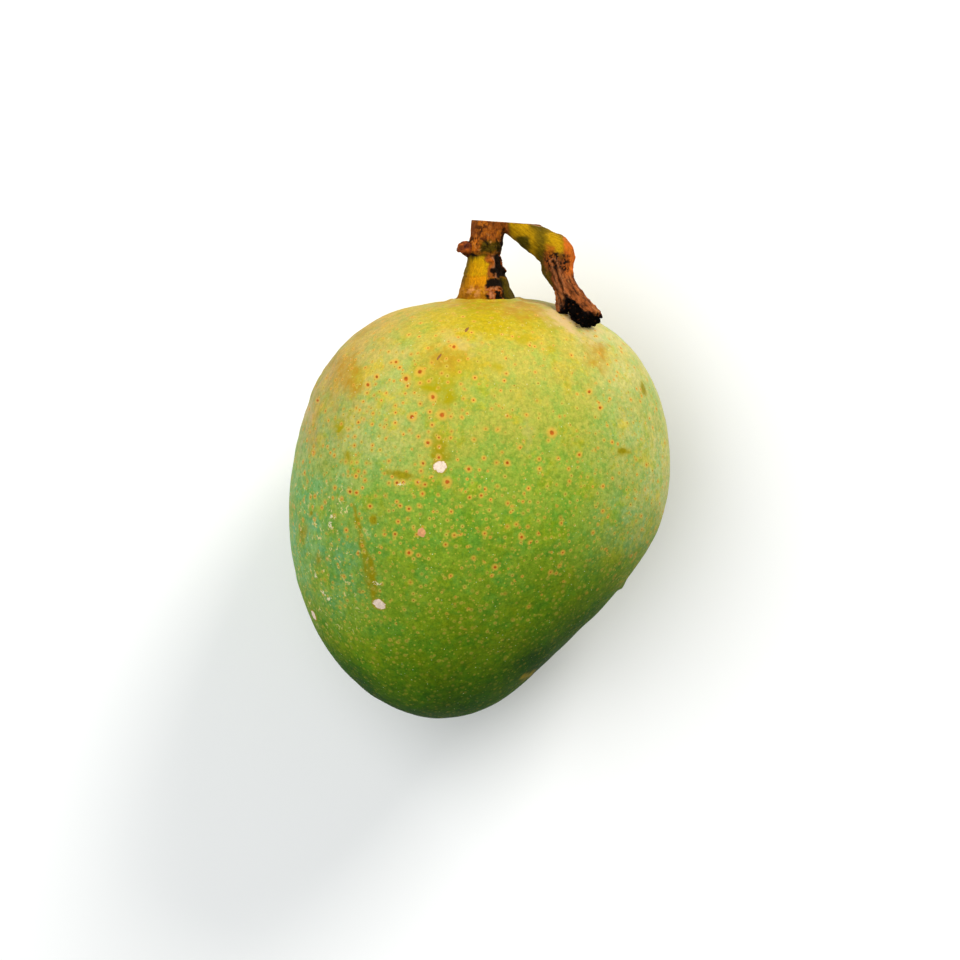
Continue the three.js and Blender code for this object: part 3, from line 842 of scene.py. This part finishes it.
        # Dark olive over the twig's upper part and along its left side, partly painted shade of its
        # underside.
        coat(TWIG_OLIVE, high)
        coat(TWIG_OLIVE, left * 0.85)
        coat(TWIG_GREEN, high * bell(x, 18.6, 2.3) * soft_step(115.4, 117.4, z) * (0.95 + 0.4 * patches))
        coat(TWIG_GREEN, twig * soft_step(15.5, 12, x) * (0.45 + 0.8 * patches))
        coat(ELBOW_BARK, twig * soft_step(20.2, 21.4, x) * soft_step(110, 113, z) * (0.85 + 0.3 * crust))
        coat(BARK_ORANGE, twig * 0.7 * box_mask(x, z, (16.2, 18.2), (113.5, 118.5), 0.6) * front)
        speckle = box_mask(x, z, (16.0, 22.0), (112.2, 116.8), 0.9) * twig * front
        coat(BARK_BROWN, speckle * 0.7)
        coat(BARK_DARK, speckle * soft_step(0.0, 0.35, grain(points, 0.36, 77)))
        coat(BARK_PALE, 0.35 * self.crack_side * bell(self.to_crack, 0.7, 0.28))
        coat(BARK_DARK, 0.9 * self.crack_side * bell(self.to_crack, 0, 0.26))
        coat(BARK_PALE, self.on_splinter * (0.15 + 0.4 * crust))
        coat(ROTTEN, self.on_splinter * soft_step(102.6, 101.6, z))
        coat(ROTTEN, self.rot * 1.05)
        coat(BARK_BROWN, self.rot * soft_step(1.1, 1.3, grain(points, 0.45, 78)) * 0.6)
        coat(CUT_WOOD, self.cut)
        rings = soft_step(0.3, 1, np.sin(self.share * YEAR_RINGS))
        coat(CUT_PITH, self.cut * (0.5 * soft_step(0.35, 0.1, self.share) + 0.35 * rings))
        coat(BARK_BROWN, self.cut * soft_step(0.8, 0.92, self.share))
        return np.clip(color, 0.002, 1)


def mesh_arrays(mesh):
    """A mesh's points and their normals."""
    points = np.empty(len(mesh.vertices) * 3)
    normals = np.empty(len(mesh.vertices) * 3)
    mesh.vertices.foreach_get("co", points)
    mesh.vertex_normals.foreach_get("vector", normals)
    return points.reshape(-1, 3), normals.reshape(-1, 3)


def dress_wood(wood):
    """Gives the wood its bark, and lays it down in the frame."""
    mesh = wood.data
    points, normals = mesh_arrays(mesh)
    made = Wood(points, normals)
    shaped = points + normals * made.relief()[:, None]
    store(mesh, "bark", np.concatenate([made.colors(), np.ones((len(points), 1))], 1), "FLOAT_COLOR")
    store(mesh, "fibre", made.fibre, "FLOAT_VECTOR")
    store(mesh, "drawn", points, "FLOAT_VECTOR")
    store(mesh, "dull", np.clip(made.rot + made.cut, 0, 1))
    mesh.vertices.foreach_set("co", laid(shaped).ravel())
    mesh.shade_smooth()
    mesh.update()


def split_at_fork(wood):
    """The stalk and the twig as two closed pieces that meet on a plane through the fork."""
    made = bmesh.new()
    made.from_mesh(wood.data)
    fork_y = (FORK_Z - MIDDLE_Z) / 1000
    high = [face for face in made.faces if face.calc_center_median().y > fork_y]
    around = list(dict.fromkeys(edge for face in high for edge in face.edges))
    around += dict.fromkeys(vertex for face in high for vertex in face.verts)
    plane = {"plane_co": (FORK_X / 1000, 0, 0), "plane_no": (1, 0, 0)}
    cut = bmesh.ops.bisect_plane(made, geom=high + around, **plane)
    rim = [edge for edge in cut["geom_cut"] if isinstance(edge, bmesh.types.BMEdge)]
    bmesh.ops.split_edges(made, edges=rim)
    open_edges = [edge for edge in made.edges if edge.is_boundary]
    for cap in bmesh.ops.holes_fill(made, edges=open_edges, sides=0)["faces"]:
        cap.smooth = False
    made.verts.ensure_lookup_table()
    start = min(made.verts, key=lambda vertex: vertex.co.y)
    stalk, waiting = {start}, [start]
    while waiting:
        for edge in waiting.pop().link_edges:
            for vertex in edge.verts:
                if vertex not in stalk:
                    stalk.add(vertex)
                    waiting.append(vertex)
    made.verts.index_update()
    of_stalk = {vertex.index for vertex in stalk}
    pieces = []
    for name, kept in (("mango_stalk", True), ("mango_twig", False)):
        side = made.copy()
        side.verts.ensure_lookup_table()
        others = [vertex for vertex in side.verts if (vertex.index in of_stalk) != kept]
        bmesh.ops.delete(side, geom=others, context="VERTS")
        pieces.append(piece_of(name, side))
    made.free()
    bpy.data.objects.remove(wood)
    return pieces


class Paint:
    """A material's nodes. What goes into a node is another node's output or a plain value."""

    def __init__(self, name):
        self.material = bpy.data.materials.new(name)
        self.material.use_nodes = True
        self.nodes, self.links = self.material.node_tree.nodes, self.material.node_tree.links
        self.shader = self.nodes["Principled BSDF"]

    def feed(self, socket, value):
        if isinstance(value, bpy.types.NodeSocket):
            self.links.new(value, socket)
        elif isinstance(value, tuple) and socket.type == "RGBA":
            socket.default_value = (*value, 1)
        else:
            socket.default_value = value

    def add(self, kind, *inputs, **settings):
        node = self.nodes.new(f"ShaderNode{kind}")
        for key, value in settings.items():
            setattr(node, key, value)
        for socket, value in zip([s for s in node.inputs if s.enabled], inputs):
            self.feed(socket, value)
        return node

    def attribute(self, name, output="Fac"):
        return self.add("Attribute", attribute_name=name).outputs[output]

    def math(self, operation, *inputs):
        return self.add("Math", *inputs, operation=operation).outputs[0]

    def line(self, value, gain, base):
        return self.math("MULTIPLY_ADD", value, gain, base)

    def product(self, first, *others):
        for other in others:
            first = self.math("MULTIPLY", first, other)
        return first

    def step(self, value, low, high):
        """0 at low and 1 at high, smooth between them."""
        node = self.add("MapRange", interpolation_type="SMOOTHSTEP")
        self.feed(node.inputs["Value"], value)
        self.feed(node.inputs["From Min"], low)
        self.feed(node.inputs["From Max"], high)
        return node.outputs["Result"]

    def mix(self, share, under, over, blend="MIX"):
        node = self.add("Mix", data_type="RGBA", blend_type=blend)
        sockets = [s for s in node.inputs if s.enabled]
        for socket, value in zip(sockets, (share, under, over)):
            self.feed(socket, value)
        return [s for s in node.outputs if s.enabled][0]

    def tint(self, share, color, factors):
        """A colour with each of its channels scaled."""
        return self.mix(share, color, factors, "MULTIPLY")

    def shade(self, color, value, gain, base):
        """A colour made darker or lighter by a value's gain and base."""
        factor = self.line(value, gain, base)
        node = self.add("VectorMath", operation="SCALE")
        self.feed(node.inputs[0], color)
        self.feed(node.inputs["Scale"], factor)
        return node.outputs[0]

    def stretch(self, vector, scale, shift=(0.0, 0.0, 0.0)):
        node = self.add("Mapping", vector_type="POINT")
        self.feed(node.inputs["Vector"], vector)
        node.inputs["Scale"].default_value = scale
        node.inputs["Location"].default_value = shift
        return node.outputs[0]

    def grain(self, vector, cell, detail=2.0, roughness=0.5, shift=0.0):
        """Noise from 0 to 1 with lumps of that size in millimetres."""
        node = self.add("TexNoise", noise_dimensions="3D")
        place = self.stretch(vector, (1.0, 1.0, 1.0), (shift, -shift, 2 * shift)) if shift else vector
        self.feed(node.inputs["Vector"], place)
        self.feed(node.inputs["Scale"], 1 / cell)
        self.feed(node.inputs["Detail"], detail)
        self.feed(node.inputs["Roughness"], roughness)
        return node.outputs["Fac"]

    def dots(self, vector, facing, cell, core, halo, share, shift, ragged):
        """Scattered round dots of the surface: masks of their cores and of their halos."""
        shifted = self.stretch(vector, (1.0, 1.0, 1.0), (shift, 2 * shift, -shift))
        node = self.add("TexVoronoi", feature="F1", voronoi_dimensions="3D")
        self.feed(node.inputs["Vector"], shifted)
        self.feed(node.inputs["Scale"], 1 / cell)
        offset = self.add("VectorMath", node.outputs["Position"], shifted, operation="SUBTRACT").outputs[0]
        depth = self.add("VectorMath", offset, facing, operation="DOT_PRODUCT").outputs["Value"]
        away = self.add("VectorMath", offset, operation="LENGTH").outputs["Value"]
        square = self.math("SUBTRACT", self.product(away, away), self.product(depth, depth))
        across = self.math("SQRT", square)
        chance = self.add("SeparateColor", node.outputs["Color"])
        size = self.line(chance.outputs[0], 0.7, 0.6)
        across = self.math("DIVIDE", self.line(ragged, 0.35 * core, across), size)
        shallow = self.math("LESS_THAN", self.math("ABSOLUTE", depth), 0.4 * cell)
        shown = self.product(shallow, self.math("LESS_THAN", chance.outputs[1], share))
        strong = self.line(chance.outputs[2], 0.7, 0.35)
        core_mask = self.product(self.step(across, core, core * 0.5), shown, strong)
        halo_mask = self.product(self.step(across, halo, core * 0.9), shown, strong)
        return core_mask, halo_mask

    def nearest(self, vector, marks, deep):
        """Distance from the middle of the nearest of the marks, 1 at its edge.

        The vectors are only added and scaled where a mark isn't turned. A Mapping node for each mark would
        fill the stack that the renderer has for one material, and the fruit would turn black.
        """
        distances = []
        for x, z, half_width, half_height, turn in marks:
            offset = self.add("VectorMath", vector, tuple(on_cheek(x, z)), operation="SUBTRACT").outputs[0]
            if turn:
                node = self.add("VectorRotate", rotation_type="Y_AXIS")
                self.feed(node.inputs["Vector"], offset)
                node.inputs["Angle"].default_value = math.radians(turn)
                offset = node.outputs[0]
            half_sizes = (half_width, deep, half_height)
            scaled = self.add("VectorMath", offset, half_sizes, operation="DIVIDE").outputs[0]
            distances.append(self.add("VectorMath", scaled, operation="LENGTH").outputs["Value"])
            if len(distances) == 2:
                distances = [self.math("MINIMUM", *distances)]
        return distances[0]

    def ramp(self, value, stops):
        """A colour by value, from stops of a place and a colour."""
        node = self.add("ValToRGB", value)
        elements = node.color_ramp.elements
        while len(elements) < len(stops):
            elements.new(0.5)
        for element, (place, color) in zip(elements, stops):
            element.position = place
            element.color = (*color, 1)
        return node.outputs["Color"]

    def finish(self, color, roughness, height, bump_mm, specular):
        self.shader.inputs["Specular IOR Level"].default_value = specular
        bump = self.add("Bump")
        self.feed(bump.inputs["Height"], height)
        bump.inputs["Distance"].default_value = bump_mm / 1000
        self.feed(self.shader.inputs["Normal"], bump.outputs["Normal"])
        self.feed(self.shader.inputs["Base Color"], color)
        self.feed(self.shader.inputs["Roughness"], roughness)
        return self.material


def skin_material():
    p = Paint("mango_skin_paint")
    drawn = p.attribute("drawn", "Vector")
    height = p.add("SeparateXYZ", drawn).outputs["Z"]
    zone = {name: p.attribute(name) for name in ZONES}

    broad = p.grain(drawn, 11.0, 3.0)
    fine = p.grain(drawn, 2.4, 3.0, 0.6, 17.0)
    tiny = p.grain(drawn, 0.7, 2.0, 0.5, 31.0)
    # The ramp's colours carry painted shade: darker lower down and at the tip.
    level = p.math("ADD", height, zone["shift_and_shade"])
    level = p.math("ADD", level, p.line(broad, 16.0, -8.0))
    level = p.math("ADD", level, p.line(fine, 14.0, -7.0))
    tallest = SKIN_BY_HEIGHT[-1][0]
    stops = [(z / tallest, color) for z, color in SKIN_BY_HEIGHT]
    color = p.ramp(p.math("DIVIDE", level, tallest), stops)
    # A painted cool sky reflection over the left flank.
    color = p.mix(p.product(zone["cool_sheen"], 0.85), color, COOL_SHEEN)
    # A painted sheen along the right rim, and paler skin at the upper left.
    color = p.mix(p.product(zone["sheen_and_pale"], 0.8), color, PALE_SHEEN)
    color = p.mix(zone["tan"], color, TAN)

    clouds = p.step(p.grain(drawn, 5.5, 5.0, 0.7, 5.0), 0.45, 0.63)
    bluish = p.mix(p.step(height, 62.0, 42.0), GREENER, BLUER)
    color = p.tint(p.product(clouds, 0.85), color, bluish)
    sunny = p.step(p.grain(drawn, 7.0, 5.0, 0.7, 47.0), 0.50, 0.66)
    color = p.tint(p.product(sunny, 0.8), color, YELLOWER)
    color = p.mix(p.product(zone["gold"], p.line(fine, 0.8, 0.5)), color, GOLD)
    streaks = p.grain(p.stretch(drawn, (1.0, 1.0, 0.1)), 0.9, 2.0, 0.6, 3.0)
    color = p.shade(color, streaks, 0.32, 0.84)
    color = p.shade(color, tiny, 0.50, 0.75)
    pore = p.grain(drawn, 0.35, 1.0, 0.5, 2.0)
    color = p.shade(color, pore, 0.34, 0.83)
    mottle = p.grain(drawn, 1.3, 3.0, 0.7, 53.0)
    calmer = p.line(p.step(height, 95.0, 65.0), 0.5, 0.5)
    color = p.tint(p.product(p.step(mottle, 0.40, 0.62), calmer), color, MOTTLE)

    speckled = p.step(fine, 0.35, 0.6)
    # Olive stains darker lower down, partly painted shade of the lower half.
    olive = p.mix(p.step(height, 55.0, 88.0), DARK_OLIVE, OLIVE)
    color = p.mix(p.product(zone["olive"], p.line(speckled, 0.5, 0.5)), color, olive)
    color = p.mix(p.product(zone["brown"], p.line(speckled, 0.5, 0.4)), color, BROWN)
    color = p.mix(p.product(zone["pink"], 0.75), color, PINK)

    corky = p.grain(drawn, 2.6, 2.0, 0.5, 11.0)
    thread = p.math("ABSOLUTE", p.math("SUBTRACT", corky, 0.5))
    broken = p.step(p.grain(drawn, 1.5, 1.0, 0.5, 23.0), 0.57, 0.63)
    thread = p.product(p.step(thread, 0.034, 0.010), broken, zone["cork"])
    color = p.mix(p.product(thread, 0.85), color, CORK)

    ragged = p.line(p.grain(drawn, 0.8, 2.0, 0.6, 41.0), 0.9, -0.45)
    lively = p.line(p.step(level, 0.0, 42.0), 0.80, 0.20)
    facing = p.attribute("facing", "Vector")
    for cell, core, halo, density, core_color, halo_color, halo_strength, shift in DOT_LAYERS:
        core_mask, halo_mask = p.dots(drawn, facing, cell, core, halo, zone[density], shift, ragged)
        color = p.mix(p.product(halo_mask, halo_strength, lively), color, halo_color)
        color = p.mix(p.product(core_mask, 0.9, lively), color, core_color)
    away = p.nearest(drawn, [(x, z, radius, radius, 0) for x, z, radius in RUST_SPOTS], RUST_SPOT_DEPTH)
    away = p.line(ragged, 0.8, away)
    color = p.mix(p.product(p.step(away, 2.9, 1.2), 0.7), color, ORANGE)
    color = p.mix(p.step(away, 1.2, 0.6), color, p.shade(RUST, tiny, 1.6, 0.3))
    fleck, _ = p.dots(drawn, facing, 2.6, 0.13, 0.3, 0.4, 29.3, ragged)
    color = p.mix(p.product(fleck, 0.75), color, FLECK)

    squiggly = p.math("ABSOLUTE", p.math("SUBTRACT", p.grain(drawn, 1.3, 2.0, 0.6, 61.0), 0.5))
    dull = p.product(thread, 0.5)
    for marks, paint, deep, soft in MARK_LAYERS:
        torn = p.line(squiggly, 9.0, 0.1) if marks is FLAKES else ragged
        away = p.math("ADD", p.nearest(drawn, marks, deep), torn)
        mark = p.step(away, 1 + soft, 1 - soft)
        if paint == SCAR:
            color = p.mix(p.product(p.step(away, 1.45, 1.05), 0.6), color, BROWN)
        color = p.mix(p.product(mark, 0.95), color, p.shade(paint, tiny, 0.9, 0.55))
        if paint != DARK_OLIVE:
            dull = p.math("MAXIMUM", dull, mark)

    roughness = p.line(fine, 0.16, 0.42)
    roughness = p.line(p.step(height, 60.0, 25.0), 0.25, roughness)
    roughness = p.line(dull, 0.4, roughness)
    pores = p.line(tiny, 0.5, p.product(pore, 0.2))
    return p.finish(color, roughness, pores, SKIN_BUMP_MM, SKIN_SPECULAR)


def wood_material(name, least_roughness):
    p = Paint(name)
    drawn = p.attribute("drawn", "Vector")
    fibre = p.attribute("fibre", "Vector")
    color = p.attribute("bark", "Color")
    dull = p.attribute("dull")
    threads = p.grain(fibre, 0.32, 3.0, 0.6)
    specks = p.grain(drawn, 0.22, 2.0, 0.6, 9.0)
    color = p.shade(color, threads, 1.5, 0.25)
    color = p.shade(color, specks, 0.6, 0.7)
    color = p.mix(p.product(p.step(specks, 0.68, 0.78), p.step(threads, 0.4, 0.6), 0.25), color, BARK_PALE)
    color = p.mix(p.product(p.step(specks, 0.36, 0.27), 0.5), color, BARK_DARK)
    roughness = p.line(threads, 0.25, least_roughness)
    roughness = p.line(dull, 0.2, roughness)
    relief = p.math("ADD", threads, p.product(specks, 0.6))
    return p.finish(color, roughness, relief, WOOD_BUMP_MM, WOOD_SPECULAR)


def camera():
    data = bpy.data.cameras.new("camera")
    data.sensor_width = SENSOR_MM
    data.lens = SENSOR_MM * CAMERA_DISTANCE / FRAME_WIDTH
    lean = math.radians(CAMERA_LEAN_DEG)
    back = Vector((0, math.sin(lean), math.cos(lean)))
    up = Vector((0, math.cos(lean), -math.sin(lean)))
    turn = Matrix((Vector((1, 0, 0)), up, back)).transposed()
    made = add_object("camera", data)
    made.matrix_world = turn.to_4x4()
    made.location = Vector(laid(AIM)) + back * CAMERA_DISTANCE / 1000
    bpy.context.scene.camera = made


def floor():
    made = bmesh.new()
    bmesh.ops.create_circle(made, cap_ends=True, segments=FLOOR_SIDES, radius=FLOOR_RADIUS)
    piece = piece_of("floor", made)
    paper = Paint("floor_paper")
    paper.shader.inputs["Base Color"].default_value = FLOOR_COLOR
    paper.shader.inputs["Roughness"].default_value = FLOOR_ROUGHNESS
    piece.data.materials.append(paper.material)


def area_light(name, place, size, watts, color):
    data = bpy.data.lights.new(name, "AREA")
    data.size = size
    data.energy = watts
    data.color = color
    made = add_object(name, data)
    made.location = place
    made.rotation_mode = "QUATERNION"
    made.rotation_quaternion = (Vector(LIT_POINT) - Vector(place)).to_track_quat("-Z", "Y")


def lights():
    area_light("key", *KEY_LIGHT)
    area_light("top", *TOP_LIGHT)
    world = bpy.data.worlds.new("studio")
    world.use_nodes = True
    background = world.node_tree.nodes["Background"]
    background.inputs["Color"].default_value = SKY_COLOR
    background.inputs["Strength"].default_value = SKY_STRENGTH
    bpy.context.scene.world = world
    bpy.context.scene.view_settings.view_transform = "Standard"


def dress(piece, material, node):
    piece.data.materials.clear()
    piece.data.materials.append(material)
    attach(piece, "root")
    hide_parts(node)


camera()
floor()
lights()

fruit = fruit_piece()
dress(fruit, skin_material(), "fruit")

whole_wood = wood_solid()
dress_wood(whole_wood)
stalk, twig = split_at_fork(whole_wood)
dress(stalk, wood_material("stalk_bark_paint", STALK_ROUGHNESS), "stalk")
dress(twig, wood_material("twig_bark_paint", TWIG_ROUGHNESS), "side_twig")
